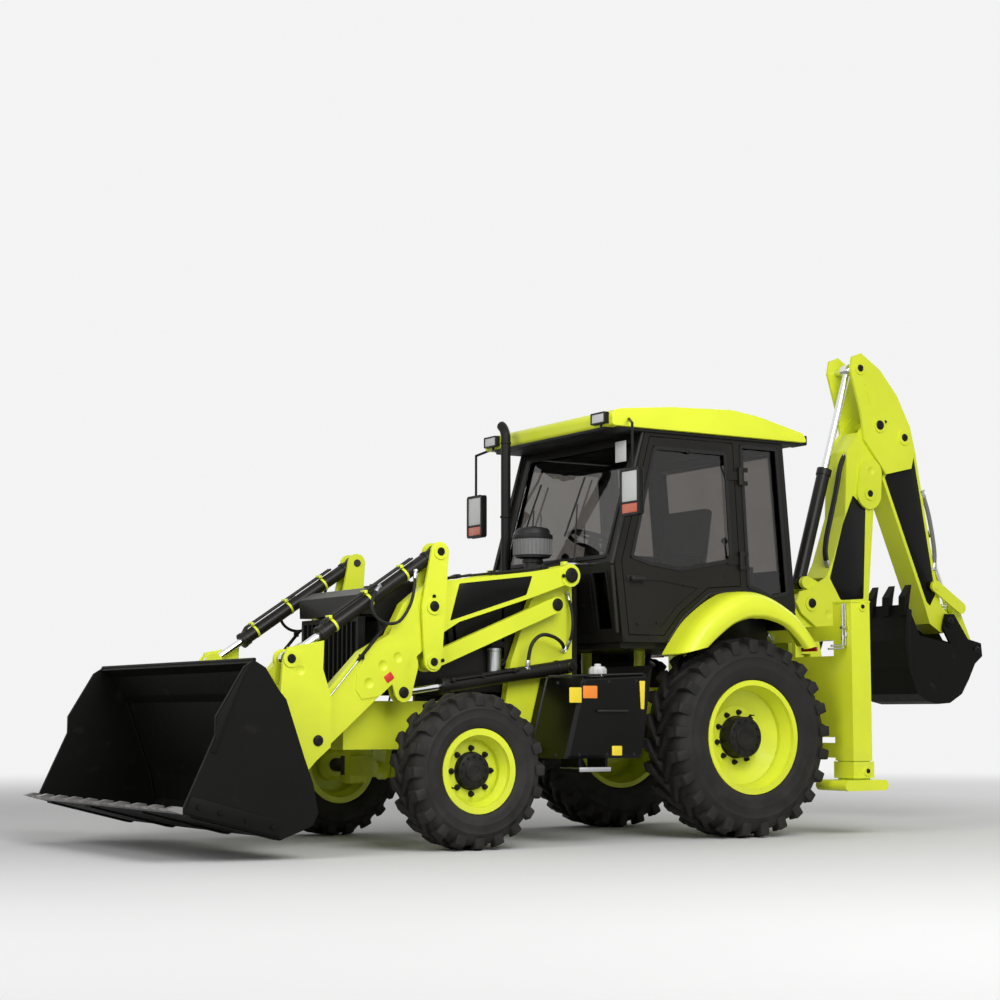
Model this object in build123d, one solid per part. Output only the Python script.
from build123d import *
import math
import os

# Backhoe loader. Millimetres, +X forward, +Y to the left, +Z up.
# Places are written from the rear axle on the ground (x = 0, z = 0),
# and every piece is moved by -ORIGIN_FROM_AXLE when it is written out,
# so that the part's origin is the middle of its box on the floor.

TOOTH_TIP_X = 4275
TIPPING_EAR_X = -2940
ORIGIN_FROM_AXLE = (TOOTH_TIP_X + TIPPING_EAR_X) / 2

# Fits
PIN_CLEARANCE = 0.05
SIDE_GAP = 5
SEAT_GAP = 0.3
BOSS = 9
PIN_HEAD = 3

# Wheels and axles
WHEELBASE = 2200
FRONT_TYRE_RADIUS = 475
FRONT_TYRE_WIDTH = 320
FRONT_WHEEL_Y = 910
FRONT_RIM_RADIUS = 228
FRONT_FLANGE_RADIUS = 257
REAR_TYRE_RADIUS = 665
REAR_TYRE_WIDTH = 420
REAR_WHEEL_Y = 760
REAR_RIM_RADIUS = 355
REAR_FLANGE_RADIUS = 379
KINGPIN_Y = 660
KINGPIN_RADIUS = 28
STUB_RADIUS = 45
AXLE_BEAM = 130

# Chassis
RAIL_IN = 280
RAIL_OUT = 360
RAIL_LOW = 620
RAIL_TOP = 900
RAIL_REAR_LOW = 790
RAIL_REAR_TOP = 1000
NOSE_FRONT = WHEELBASE + 590
NOSE_REAR = WHEELBASE - 160
RAIL_FRONT = WHEELBASE - 120
NOSE_HALF_WIDTH = 400
TOW_EYE_X = 2900
TOW_EYE_LOW = 640
TOW_EYE_THICKNESS = 40
TOW_EYE_RADIUS = 20
TOWER_OUT = 490
TANK_REAR = REAR_TYRE_RADIUS + 205
TANK_FRONT = WHEELBASE - FRONT_TYRE_RADIUS - 185
TANK_LOW = 540
TANK_OUT = 1000
TANK_EDGE = 22

# Loader arms and linkage, side view places (x, z)
ARM_Y = 560
ARM_WIDTH = 80
LEVER_PLATE = 20
ARM_PIVOT = (1230, 1722)
LEVER_PIVOT = (2277, 1488)
LEVER_TOP = (2231, 1833)
LEVER_BOTTOM = (2278, 1141)
LINK_REAR = (1327, 1528)
ARM_TIP = (3075, 660)
HITCH_TOP = (3260, 1148)
LIFT_BASE = (1215, 1131)
LIFT_EYE = (2475, 951)
ARM_PIN_RADIUS = 32
ARM_BOSS_RADIUS = 75
LINK_EYE_RADIUS = 50
CROSS_TUBE = (2930, 945)
CROSS_TUBE_RADIUS = 60
STOP_BAR = (3023, 853)
STOP_BAR_RADIUS = 52
SHAFT_RADIUS = 55
STOP_ARM = 25

# Loader cylinders
LIFT_BARREL_RADIUS = 45
LIFT_ROD_RADIUS = 22
LIFT_BARREL_LENGTH = 990
TILT_BARREL_RADIUS = 42
TILT_ROD_RADIUS = 24
TILT_BARREL_LENGTH = 976
LIFT_TAIL = 150
TILT_TAIL = 210
CYLINDER_EYE_RADIUS = 46
BORE_START = 70

# Loader bucket
BUCKET_HALF_WIDTH = 1190
BUCKET_SHELL = 16
BUCKET_SIDE = 20
BUCKET_TEETH = 10
BACK_RIBS_Y = (-960, -240, 0, 240, 960)
BACK_RIB = 14
WEAR_STRIPS_Y = (-1120, -420, 420, 1120)
WEAR_STRIP = 12
TOOTH_WIDTH = 60
EDGE_X = 4177 + SEAT_GAP

# Cab
CAB_HALF_WIDTH = 750
CAB_WALL = 60
CAB_FLOOR = 1290
CAB_UNDERSIDE = CAB_FLOOR - 40
CAB_MOUNTS_X = (-400, 480)
CAB_MOUNT_RADIUS = 38
GLASS = 6
ROOF_HALF_WIDTH = 800
ROOF_EDGE = 35
FENDER_WIDTH = 250
DOOR_GAP = 6
DOOR_HINGE = (-62, 768)
DOOR_HINGES_Z = (1860, 2440)
HINGE_LENGTH = 60
HINGE_RADIUS = 16
HINGE_PIN = 8
PRESSING = 7

# Rear slide frame and stabilizers
SLIDE_FRONT = -785
SLIDE_REAR = -955
LEG_OUT = 1050
LEG_WIDTH = 185
LEG_WALL = 12
LEG_TOP = 1597
LEG_LOW = 383
FOOT_LOW = 300
FOOT_ROUND = 36
LEG_PIN = (-884, 1557)
COLLAR_PIN = (-899, 432)

# Backhoe, side view places (x, z)
SWING_X = -1120
BOOM_FOOT = (-1235, 1635)
DIPPER_PIVOT = (-1920, 3013)
DIPPER_RAM_EYE = (-1732, 3436)
DIPPER_RAM_BASE = (-1212, 1790)
BOOM_RAM_EYE = (-1812, 2482)
BOOM_RAM_BASE = (-1290, 1130)
BOOM_RAM_BARREL = 820
BOOM_RAM_TAIL = 420
DIPPER_RAM_BARREL = 910
DIPPER_RAM_TAIL = 809
BUCKET_RAM_BARREL = 820
BUCKET_RAM_TAIL = 594
RAM_SLOT_HALF = 53
BUCKET_RAM_BASE = (-2170, 2935)
BUCKET_PIN = (-2600, 1537)
TIP_LEVER_PIVOT = (-2470, 1800)
TIP_LEVER_END = (-2730, 1640)
TIP_LINK_PIN = (-2880, 1317)
BOOM_HALF_WIDTH = 115
HEAD_PLATE = 20
DIPPER_HALF_WIDTH = 100
DIG_BUCKET_HALF_WIDTH = 310

SIDES = (1, -1)


def polygon(*points):
    return make_face(Polyline(*points, close=True))


def disc(centre, radius):
    return Pos(*centre) * Circle(radius)


def strap(a, radius_a, b, radius_b):
    """Outline of a link: two round ends joined by their tangents."""
    ends = [Pos(*a) * Circle(radius_a), Pos(*b) * Circle(radius_b)]
    return make_hull([edge for end in ends for edge in end.edges()])


def side(sketch, y_low, y_high):
    """Solid from a side view outline (x, z), between two values of y."""
    plane = Plane(origin=(0, y_high, 0), x_dir=(1, 0, 0), z_dir=(0, -1, 0))
    return extrude(plane * sketch, amount=y_high - y_low)


def front(sketch, x_low, x_high):
    """Solid from a front view outline (y, z), between two values of x."""
    plane = Plane(origin=(x_low, 0, 0), x_dir=(0, 1, 0), z_dir=(1, 0, 0))
    return extrude(plane * sketch, amount=x_high - x_low)


def plan(sketch, z_low, z_high):
    """Solid from a plan view outline (x, y), between two heights."""
    return extrude(Pos(0, 0, z_low) * sketch, amount=z_high - z_low)


def block(x, y, z):
    """Box from three (low, high) pairs."""
    return Pos(sum(x) / 2, sum(y) / 2, sum(z) / 2) * Box(x[1] - x[0], y[1] - y[0], z[1] - z[0])


def rod(a, b, radius):
    start = Vector(*a)
    line = Vector(*b) - start
    return extrude(Plane(origin=start, z_dir=line) * Circle(radius), amount=line.length)


def pin(place, y_low, y_high, radius):
    """Cylinder along Y at a side view place."""
    return side(disc(place, radius), y_low, y_high)


def dent(place, y, radius, depth):
    """Ball that presses a round dent of this radius and depth into a face at y, from either side."""
    ball = (radius ** 2 + depth ** 2) / (2 * depth)
    away = ball - depth if y > 0 else depth - ball
    return Pos(place[0], y + away, place[1]) * Sphere(ball)


def at(place, y):
    return (place[0], y, place[1])


def along(a, b, distance):
    """Point on the line from a to b, in the side view."""
    length = math.dist(a, b)
    share = distance / length
    return (a[0] + (b[0] - a[0]) * share, a[1] + (b[1] - a[1]) * share)


def mirrored(shape):
    return mirror(shape, about=Plane.XZ)


def pair(shape):
    return [shape, mirrored(shape)]


def write(name, *shapes):
    solids = [solid for shape in shapes for solid in shape.solids()]
    moved = [Pos(-ORIGIN_FROM_AXLE, 0, 0) * solid for solid in solids]
    whole = moved[0] if len(moved) == 1 else Compound(moved)
    export_step(whole, f"parts/{name}.step")


# Wheels


def flat_ring(radius, y_low, y_high, end_radius, sides):
    """Solid about the Y axis with flat sides, radius at y_low and end_radius at y_high."""
    away = 1 if y_high > y_low else -1
    base = Plane(origin=(0, y_low, 0), x_dir=(1, 0, 0), z_dir=(0, away, 0))
    outline = RegularPolygon(radius, sides, major_radius=False)
    height = abs(y_high - y_low)
    taper = math.degrees(math.atan2(radius - end_radius, height))
    return extrude(base * outline, amount=height, taper=taper)


def tyre(radius, width, rim_radius, flange_radius, lug_height, bead_half, lugs, sides):
    """Tyre about the Y axis at the origin, its lugs in two staggered rows and one tip straight down."""
    half = width / 2
    carcass = radius - lug_height
    wall = carcass - flange_radius
    crown_half = half * 0.66
    body = flat_ring(carcass, -crown_half, crown_half, carcass, sides)
    for s in SIDES:
        body += flat_ring(carcass, s * crown_half, s * half, flange_radius + wall * 0.55, sides)
    seat = rim_radius + SEAT_GAP
    body -= flat_ring(seat, -width, width, seat, sides)
    for s in SIDES:
        body -= flat_ring(flange_radius + 1, s * bead_half, s * (half + 1), flange_radius + wall * 0.25, sides)
    thick = 2 * math.pi * radius / lugs * 0.36
    lean = thick * 1.15
    reach = (thick + lean) / 2
    top = math.sqrt(radius ** 2 - reach ** 2)
    low = carcass - lug_height * 0.8
    inner_end = width * 0.03
    outer_end = half * 0.93
    tip_turn = math.degrees(math.atan2(reach, top))
    blades = []
    for row in SIDES:
        outline = polygon(
            (-reach, -row * inner_end),
            (-reach + thick, -row * inner_end),
            (reach, row * outer_end),
            (reach - thick, row * outer_end),
        )
        blade = plan(outline, low, top)
        stagger = 0 if row > 0 else 0.5
        for count in range(lugs):
            blades.append(Rot(0, 180 - tip_turn + 360 / lugs * (count + stagger), 0) * blade)
    return body.fuse(*[solid for blade in blades for solid in blade.solids()])


def rim(rim_radius, flange_radius, bead_half, well, disc, hub):
    """Steel wheel about the Y axis: two flanges, a dropped well, a disc and its planet hub."""
    lip = 12
    wall = 10
    disc_wall = 14
    well_radius, well_half = well
    disc_at, flat_radius, disc_rise = disc
    hub_radius, hub_reach, cap_radius = hub
    slope_end = bead_half - 20
    outside = [
        (flange_radius, bead_half + lip),
        (flange_radius, bead_half),
        (rim_radius, bead_half),
        (rim_radius, slope_end),
        (well_radius, well_half),
        (well_radius, -well_half),
        (rim_radius, -slope_end),
        (rim_radius, -bead_half),
        (flange_radius, -bead_half),
        (flange_radius, -bead_half - lip),
    ]
    inside = [
        (rim_radius - wall, -bead_half - lip),
        (rim_radius - wall, -slope_end),
        (well_radius - wall, -well_half),
        (well_radius - wall, well_half),
        (rim_radius - wall, slope_end),
        (rim_radius - wall, bead_half + lip),
    ]
    disc_edge = well_radius - wall + 1
    dish = polygon(
        (hub_radius - 1, disc_at),
        (flat_radius, disc_at),
        (disc_edge, disc_at + disc_rise),
        (disc_edge, disc_at + disc_rise - disc_wall),
        (flat_radius, disc_at - disc_wall),
        (hub_radius - 1, disc_at - disc_wall),
    )
    drum = polygon(
        (0, HUB_DEPTH + SEAT_GAP),
        (STUB_RADIUS + PIN_CLEARANCE, HUB_DEPTH + SEAT_GAP),
        (STUB_RADIUS + PIN_CLEARANCE, -HUB_BACK),
        (hub_radius * 0.7, -HUB_BACK),
        (hub_radius, -HUB_BACK + 30),
        (hub_radius, hub_reach - HUB_EDGE),
        (hub_radius - HUB_EDGE, hub_reach),
        (cap_radius, hub_reach),
        (cap_radius, hub_reach + HUB_EDGE),
        (0, hub_reach + HUB_EDGE),
    )
    sections = (polygon(*outside, *inside), dish, drum)
    barrel, plate, middle = [revolve(Plane.XY * section, Axis.Y) for section in sections]
    return barrel + plate + middle


FRONT_BEAD_HALF = 128
REAR_BEAD_HALF = 176
FRONT_LUG = 24
REAR_LUG = 32
FRONT_LUGS = 14
REAR_LUGS = 16
FRONT_SIDES = 28
REAR_SIDES = 32
# Well: radius and half width. Disc: place, radius of its flat, rise of its edge. Hub: radius, reach, cap radius.
FRONT_WELL = (200, 60)
REAR_WELL = (325, 80)
FRONT_DISC = (36, 170, -6)
REAR_DISC = (0, 207, 50)
FRONT_HUB = (109, 80, 62)
REAR_HUB = (135, 106, 84)
HUB_EDGE = 9
HUB_DEPTH = 40
HUB_BACK = 60


def make_wheels():
    front_tyre = tyre(FRONT_TYRE_RADIUS, FRONT_TYRE_WIDTH, FRONT_RIM_RADIUS, FRONT_FLANGE_RADIUS,
                      FRONT_LUG, FRONT_BEAD_HALF, FRONT_LUGS, FRONT_SIDES)
    rear_tyre = tyre(REAR_TYRE_RADIUS, REAR_TYRE_WIDTH, REAR_RIM_RADIUS, REAR_FLANGE_RADIUS,
                     REAR_LUG, REAR_BEAD_HALF, REAR_LUGS, REAR_SIDES)
    front_rim = rim(FRONT_RIM_RADIUS, FRONT_FLANGE_RADIUS, FRONT_BEAD_HALF, FRONT_WELL, FRONT_DISC, FRONT_HUB)
    rear_rim = rim(REAR_RIM_RADIUS, REAR_FLANGE_RADIUS, REAR_BEAD_HALF, REAR_WELL, REAR_DISC, REAR_HUB)
    # Each row: name, tyre, rim, x, y of the left wheel, height of the axle.
    wheels = (
        ("front", front_tyre, front_rim, WHEELBASE, FRONT_WHEEL_Y, FRONT_TYRE_RADIUS),
        ("rear", rear_tyre, rear_rim, 0, REAR_WHEEL_Y, REAR_TYRE_RADIUS),
    )
    for name, tyre_solid, rim_solid, x, y, z in wheels:
        for label, shape in (("tyre", tyre_solid), ("rim", rim_solid)):
            left = Pos(x, y, z) * shape
            write(f"{label}_{name}_left", left)
            write(f"{label}_{name}_right", mirrored(left))


def make_axles():
    z = FRONT_TYRE_RADIUS
    half = AXLE_BEAM / 2
    beam = block((WHEELBASE - half, WHEELBASE + half), (-KINGPIN_Y + 75, KINGPIN_Y - 75), (z - half, z + half))
    # Yokes that hold the kingpins above and below each knuckle.
    for s in SIDES:
        for low, high in ((z - 115, z - 65), (z + 65, z + 115)):
            outline = strap((WHEELBASE, s * KINGPIN_Y), 50, (WHEELBASE, s * (KINGPIN_Y - 90)), 65)
            beam += plan(outline, low, high)
        web = block((WHEELBASE - half, WHEELBASE + half),
                    sorted((s * (KINGPIN_Y - 150), s * (KINGPIN_Y - 75))), (z - 115, z + 115))
        beam += web
        beam -= Pos(WHEELBASE, s * KINGPIN_Y, z) * Cylinder(KINGPIN_RADIUS + PIN_CLEARANCE, 300)
    trunnion = rod((WHEELBASE - 150, 0, z), (WHEELBASE + 150, 0, z), 40)
    write("front_axle", beam + trunnion)

    knuckle = Pos(WHEELBASE, KINGPIN_Y, z) * Cylinder(KINGPIN_RADIUS, 230)
    knuckle += Pos(WHEELBASE, KINGPIN_Y, z) * Cylinder(52, 128)
    knuckle += rod((WHEELBASE, KINGPIN_Y, z), (WHEELBASE, FRONT_WHEEL_Y + HUB_DEPTH, z), STUB_RADIUS)
    write("knuckle_left", knuckle)
    write("knuckle_right", mirrored(knuckle))

    z = REAR_TYRE_RADIUS
    tube = rod((0, -REAR_WHEEL_Y - HUB_DEPTH, z), (0, REAR_WHEEL_Y + HUB_DEPTH, z), STUB_RADIUS)
    tube += rod((0, -500, z), (0, 500, z), 85)
    tube += Pos(0, 0, z) * Sphere(175)
    for s in SIDES:
        tube += block((-70, 70), sorted((s * RAIL_IN, s * RAIL_OUT)), (z, RAIL_REAR_LOW))
    tube = tube & block((-400, 400), (-1200, 1200), (0, RAIL_REAR_LOW))
    write("rear_axle", tube)


# Chassis and engine bay


def make_chassis():
    rail_outline = polygon(
        (SLIDE_FRONT, RAIL_REAR_LOW),
        (700, RAIL_REAR_LOW),
        (1000, RAIL_LOW),
        (RAIL_FRONT, RAIL_LOW),
        (RAIL_FRONT, RAIL_TOP),
        (1150, RAIL_TOP),
        (1000, RAIL_REAR_TOP),
        (SLIDE_FRONT, RAIL_REAR_TOP),
    )
    frame = side(rail_outline, RAIL_IN, RAIL_OUT)
    frame += side(rail_outline, -RAIL_OUT, -RAIL_IN)
    # Each row: low x, high x, low z, high z of a cross member.
    members = (
        (SLIDE_FRONT, SLIDE_FRONT + 40, RAIL_REAR_LOW, RAIL_REAR_TOP),
        (560, 640, RAIL_REAR_LOW, RAIL_REAR_TOP),
        (1230, 1330, RAIL_LOW, RAIL_LOW + 60),
    )
    for x_low, x_high, z_low, z_high in members:
        frame += block((x_low, x_high), (-RAIL_IN - 1, RAIL_IN + 1), (z_low, z_high))
    # Nose: a box open below over the axle, with the trunnion's two bearings.
    nose_bottom = FRONT_TYRE_RADIUS + AXLE_BEAM / 2 + 60
    nose = block((NOSE_REAR, NOSE_FRONT), (-NOSE_HALF_WIDTH, NOSE_HALF_WIDTH), (nose_bottom, RAIL_TOP))
    nose -= block((RAIL_FRONT, NOSE_FRONT - 60), (-NOSE_HALF_WIDTH + 60, NOSE_HALF_WIDTH - 60), (0, RAIL_TOP - 30))
    frame += nose
    for x_low in (WHEELBASE - 120, WHEELBASE + 80):
        bearing = front(strap((0, FRONT_TYRE_RADIUS), 75, (0, RAIL_TOP - 125), 120), x_low, x_low + 40)
        frame += bearing
    bore = rod((WHEELBASE - 200, 0, FRONT_TYRE_RADIUS), (WHEELBASE + 200, 0, FRONT_TYRE_RADIUS), 40 + PIN_CLEARANCE)
    frame -= bore
    # Rubber mounts stand on the rails under the cab's floor.
    for x in CAB_MOUNTS_X:
        for s in SIDES:
            mount_place = Pos(x, s * (RAIL_IN + RAIL_OUT) / 2, (RAIL_REAR_TOP + CAB_UNDERSIDE) / 2)
            frame += mount_place * Cylinder(CAB_MOUNT_RADIUS, CAB_UNDERSIDE - RAIL_REAR_TOP)
    # Towing eye below the front of the nose.
    frame += block((NOSE_FRONT - 70, TOW_EYE_X + 50), (-70, 70), (TOW_EYE_LOW, TOW_EYE_LOW + TOW_EYE_THICKNESS))
    frame -= Pos(TOW_EYE_X, 0, TOW_EYE_LOW) * Cylinder(TOW_EYE_RADIUS, 4 * TOW_EYE_THICKNESS)
    # Loader towers stand outside the rails and carry three pins each.
    tower_outline = polygon(
        (1150, RAIL_LOW + 60),
        (1150, 1700),
        (1180, 1790),
        (1285, 1790),
        (1330, 1700),
        (1469, 1552),
        (1625, 1150),
        (1700, RAIL_LOW + 60),
    )
    for s in SIDES:
        plate = side(tower_outline, TOWER_OUT - 60, TOWER_OUT)
        foot = block((1150, 1700), (RAIL_OUT, TOWER_OUT - 60), (RAIL_LOW + 60, RAIL_LOW + 240))
        tower = plate + foot
        tower += pin(ARM_PIVOT, TOWER_OUT, ARM_Y + ARM_WIDTH / 2 + 12, ARM_PIN_RADIUS)
        tower += pin(ARM_PIVOT, ARM_Y + ARM_WIDTH / 2 + 2, ARM_Y + ARM_WIDTH / 2 + 14, ARM_PIN_RADIUS + 16)
        tower += pin(ARM_PIVOT, TOWER_OUT, ARM_Y - ARM_WIDTH / 2 - SIDE_GAP, 60)
        tower += pin(LIFT_BASE, TOWER_OUT, ARM_Y + 30, 26)
        frame += tower if s > 0 else mirrored(tower)
    write("chassis_frame", frame)

    engine = block((1760, 2340), (-250, 250), (RAIL_TOP + 40, 1420))
    engine += block((1730, 1900), (-RAIL_IN + SEAT_GAP, RAIL_IN - SEAT_GAP), (RAIL_TOP - 160, RAIL_TOP + 41))
    engine += block((1000, 1800), (-190, 190), (RAIL_LOW + 70, 960))
    write("engine_block", engine)


HOOD_REAR = 1646
HOOD_FRONT = 2700
HOOD_HALF_WIDTH = 415
HOOD_SKIN = 10
HOOD_HINGE = (1676, 1660)
HOOD_GAP = 18
HINGE_EAR_Y = 242
HINGE_EAR = 20
LOUVRES = 8
LOUVRE_START = 1990
LOUVRE_PITCH = 58
LOUVRE_HALF = 11


def hood_outline():
    return polygon(
        (HOOD_REAR, 960),
        (HOOD_REAR, 1690),
        (2100, 1665),
        (2600, 1610),
        (HOOD_FRONT, 1560),
        (HOOD_FRONT - 6, 1440),
        (2560, 1440),
        (2560, 960),
    )


def make_hood():
    outer = side(hood_outline(), -HOOD_HALF_WIDTH, HOOD_HALF_WIDTH)
    inner = side(offset(hood_outline(), -HOOD_SKIN), -HOOD_HALF_WIDTH + HOOD_SKIN, HOOD_HALF_WIDTH - HOOD_SKIN)
    bottom = block((HOOD_REAR + HOOD_SKIN, 2560 - HOOD_SKIN),
                   (-HOOD_HALF_WIDTH + HOOD_SKIN, HOOD_HALF_WIDTH - HOOD_SKIN), (900, 1000))
    rear = block((HOOD_REAR - 20, HOOD_REAR + 40), (-HOOD_HALF_WIDTH + 60, HOOD_HALF_WIDTH - 60), (900, 1677))
    nose_open = block((2500, HOOD_FRONT + 10), (-HOOD_HALF_WIDTH + HOOD_SKIN, HOOD_HALF_WIDTH - HOOD_SKIN), (900, 1430))
    hood = outer - inner - bottom - rear - nose_open
    for s in SIDES:
        knuckle_y = sorted((s * 200, s * (HINGE_EAR_Y - 1)))
        knuckle = disc(HOOD_HINGE, 16) + polygon((1664, 1660), (1688, 1660), (1688, 1682), (1664, 1682))
        hood += side(knuckle, knuckle_y[0], knuckle_y[1])
        # The cowl's ear stands in this notch as the hood swings up.
        notch_y = sorted((s * (HINGE_EAR_Y - SIDE_GAP), s * (HINGE_EAR_Y + HINGE_EAR + SIDE_GAP)))
        hood -= block((HOOD_REAR - 1, HOOD_HINGE[0] + 24), (notch_y[0], notch_y[1]), (HOOD_HINGE[1] - 40, HOOD_HINGE[1] + 50))
    hood -= pin(HOOD_HINGE, -HOOD_HALF_WIDTH, HOOD_HALF_WIDTH, 8 + PIN_CLEARANCE)
    # A row of upright slots on each side lets the radiator's air out.
    for count in range(LOUVRES):
        x = LOUVRE_START + LOUVRE_PITCH * count
        slot = strap((x, 1210), LOUVRE_HALF, (x + 20, 1400), LOUVRE_HALF)
        hood -= side(slot, -HOOD_HALF_WIDTH - 1, HOOD_HALF_WIDTH + 1)
    write("hood", hood)

    # Fixed cowl between the hood and the cab, over the gearbox.
    cowl_outline = polygon((1060, 1010), (1060, 1740), (HOOD_REAR - HOOD_GAP, 1690), (HOOD_REAR - HOOD_GAP, 920), (1330, 920))
    cowl = side(cowl_outline, -HOOD_HALF_WIDTH, HOOD_HALF_WIDTH)
    cowl -= side(offset(cowl_outline, -12), -HOOD_HALF_WIDTH + 12, HOOD_HALF_WIDTH - 12)
    cowl -= block((1100, HOOD_REAR), (-HOOD_HALF_WIDTH + 12, HOOD_HALF_WIDTH - 12), (900, 1030))
    # Feet stand on the rails, and two ears hold the hood's hinge pins.
    for s in SIDES:
        foot_y = sorted((s * RAIL_IN, s * (HOOD_HALF_WIDTH - 11)))
        cowl += block((1420, 1500), (foot_y[0], foot_y[1]), (RAIL_TOP, RAIL_TOP + 40))
        ear_y = sorted((s * HINGE_EAR_Y, s * (HINGE_EAR_Y + HINGE_EAR)))
        ear = strap(HOOD_HINGE, 16, (HOOD_REAR - HOOD_GAP - 4, HOOD_HINGE[1]), 16)
        cowl += side(ear, ear_y[0], ear_y[1])
        pin_y = sorted((s * 190, s * (HINGE_EAR_Y + HINGE_EAR)))
        cowl += pin(HOOD_HINGE, pin_y[0], pin_y[1], 8)
    write("hood_cowl", cowl)

    # Radiator grille: a frame with upright bars in front of a core.
    grille = block((2640, 2690), (-HOOD_HALF_WIDTH + 20, HOOD_HALF_WIDTH - 20), (RAIL_TOP, 1425))
    grille -= block((2670, 2700), (-HOOD_HALF_WIDTH + 50, HOOD_HALF_WIDTH - 50), (RAIL_TOP + 40, 1395))
    bars = 12
    pitch = (2 * HOOD_HALF_WIDTH - 100) / bars
    for count in range(1, bars):
        y = -HOOD_HALF_WIDTH + 50 + pitch * count
        grille += block((2669, 2690), (y - 7, y + 7), (RAIL_TOP + 39, 1396))
    write("radiator_grille", grille)


def make_stacks():
    x, y, r = 1150, -330, 32
    pipe = rod((x, y, 1712), (x, y, 2760), r)
    pipe += Pos(x, y, 2760) * Sphere(r)
    pipe += rod((x, y, 2760), (x, y - 95, 2840), r)
    pipe += rod((x, y, 1712), (x, y, 1740), 60)
    pipe = pipe - cowl_space()
    write("exhaust_stack", pipe)

    x, y = 1140, 0
    cleaner = rod((x, y, 1712), (x, y, 1860), 55)
    cleaner += rod((x, y, 1860), (x, y, 1880), 110)
    cleaner += rod((x, y, 1880), (x, y, 2010), 132)
    cleaner += rod((x, y, 2010), (x, y, 2090), 118)
    cleaner = cleaner - cowl_space()
    write("air_precleaner", cleaner)


def cowl_space():
    """All that lies under the cowl's top face."""
    outline = polygon((1060, 900), (1060, 1740), (HOOD_REAR - HOOD_GAP, 1690), (HOOD_REAR - HOOD_GAP, 900))
    return side(outline, -HOOD_HALF_WIDTH, HOOD_HALF_WIDTH)


def make_side_tanks():
    outline = polygon((TANK_REAR, 1130), (TANK_REAR + 30, 1075), (TANK_FRONT - 140, 1050), (TANK_FRONT, TANK_LOW),
                      (TANK_REAR + 90, TANK_LOW))
    tank = side(outline, RAIL_OUT + 140, TANK_OUT)
    outer_edges = tank.faces().sort_by(Axis.Y)[-1].edges()
    tank = chamfer([edge for edge in outer_edges if edge.center().X > TANK_REAR + 200], TANK_EDGE)
    # Brackets reach the rail, and a step hangs below.
    for x in (985, 1085):
        tank += block((x, x + 60), (RAIL_OUT, RAIL_OUT + 150), (700, 780))
    step = block((1200, 1440), (760, TANK_OUT), (455, 475))
    for x in (1210, 1410):
        step += block((x, x + 20), (780, 980), (474, TANK_LOW + 1))
    write("side_tanks", *pair(tank + step))


# Loader


LINK_HALF = 25
CYL_EYE_HALF = 22
LIFT_SLOT_HALF = 28
ARM_STEP = 6
KNEE_DENTS = ((2718, 1007), (2622, 1115), (2519, 1166))


def make_loader_arms():
    y_in = ARM_Y - ARM_WIDTH / 2
    y_out = ARM_Y + ARM_WIDTH / 2
    outline = polygon(
        (1243, 1785),
        (1521, 1736),
        (2073, 1668),
        (2300, 1640),
        (2480, 1500),
        (2580, 1306),
        (2770, 1201),
        (3030, 930),
        (3140, 700),
        (3020, 600),
        (2659, 914),
        (2474, 1073),
        (2380, 1177),
        (2208, 1317),
        (2072, 1398),
        (1522, 1569),
        (1251, 1664),
    )
    outline = outline + disc(ARM_PIVOT, ARM_BOSS_RADIUS) + disc(ARM_TIP, ARM_BOSS_RADIUS)
    arm = side(outline, y_in, y_out)
    # Lift cylinder lug: two plates under the arm with the eye between them.
    lug = strap(LIFT_EYE, 60, (2480, 1120), 110)
    slot = side(disc(LIFT_EYE, 90) + polygon((2300, 860), (2560, 860), (2560, 1030), (2430, 1080), (2300, 1080)),
                ARM_Y - LIFT_SLOT_HALF, ARM_Y + LIFT_SLOT_HALF)
    arm += side(lug, y_in, y_out)
    # The outer face stands proud at the pins and on the knee's casting, which has three round dents.
    knee = polygon(
        (2811, 968),
        (2801, 1065),
        (2747, 1172),
        (2637, 1227),
        (2469, 1243),
        (2423, 1167),
        (2468, 1088),
        (2440, 941),
        (2512, 880),
        (2634, 930),
        (2767, 908),
    )
    proud = knee + disc(LIFT_EYE, 60) + disc(ARM_PIVOT, ARM_BOSS_RADIUS) + disc(ARM_TIP, ARM_BOSS_RADIUS)
    proud += disc(LEVER_PIVOT, 95)
    arm -= side(outline + lug - proud, y_out - ARM_STEP, y_out + 1)
    for place in KNEE_DENTS:
        arm -= dent(place, y_out, 33, 10)
    arm -= slot
    arm += pin(LIFT_EYE, y_out, y_out + 4, 34)
    arm -= pin(ARM_PIVOT, y_in - 1, y_out + 1, ARM_PIN_RADIUS + PIN_CLEARANCE)
    arm -= pin(ARM_TIP, y_in - 1, y_out + 1, ARM_PIN_RADIUS + PIN_CLEARANCE)
    plate_out = y_out + SIDE_GAP + LEVER_PLATE
    plate_in = y_in - SIDE_GAP - LEVER_PLATE
    arm += pin(LEVER_PIVOT, plate_in - 4, plate_out + BOSS + PIN_HEAD, ARM_PIN_RADIUS)
    arms = arm + mirrored(arm)
    arms += rod(at(CROSS_TUBE, -y_in - 1), at(CROSS_TUBE, y_in + 1), CROSS_TUBE_RADIUS)
    write("loader_arms", arms)
    return y_in, y_out


def lever_plates(sketch):
    y_in = ARM_Y - ARM_WIDTH / 2 - SIDE_GAP
    y_out = ARM_Y + ARM_WIDTH / 2 + SIDE_GAP
    return side(sketch, y_out, y_out + LEVER_PLATE) + side(sketch, y_in - LEVER_PLATE, y_in)


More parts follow.
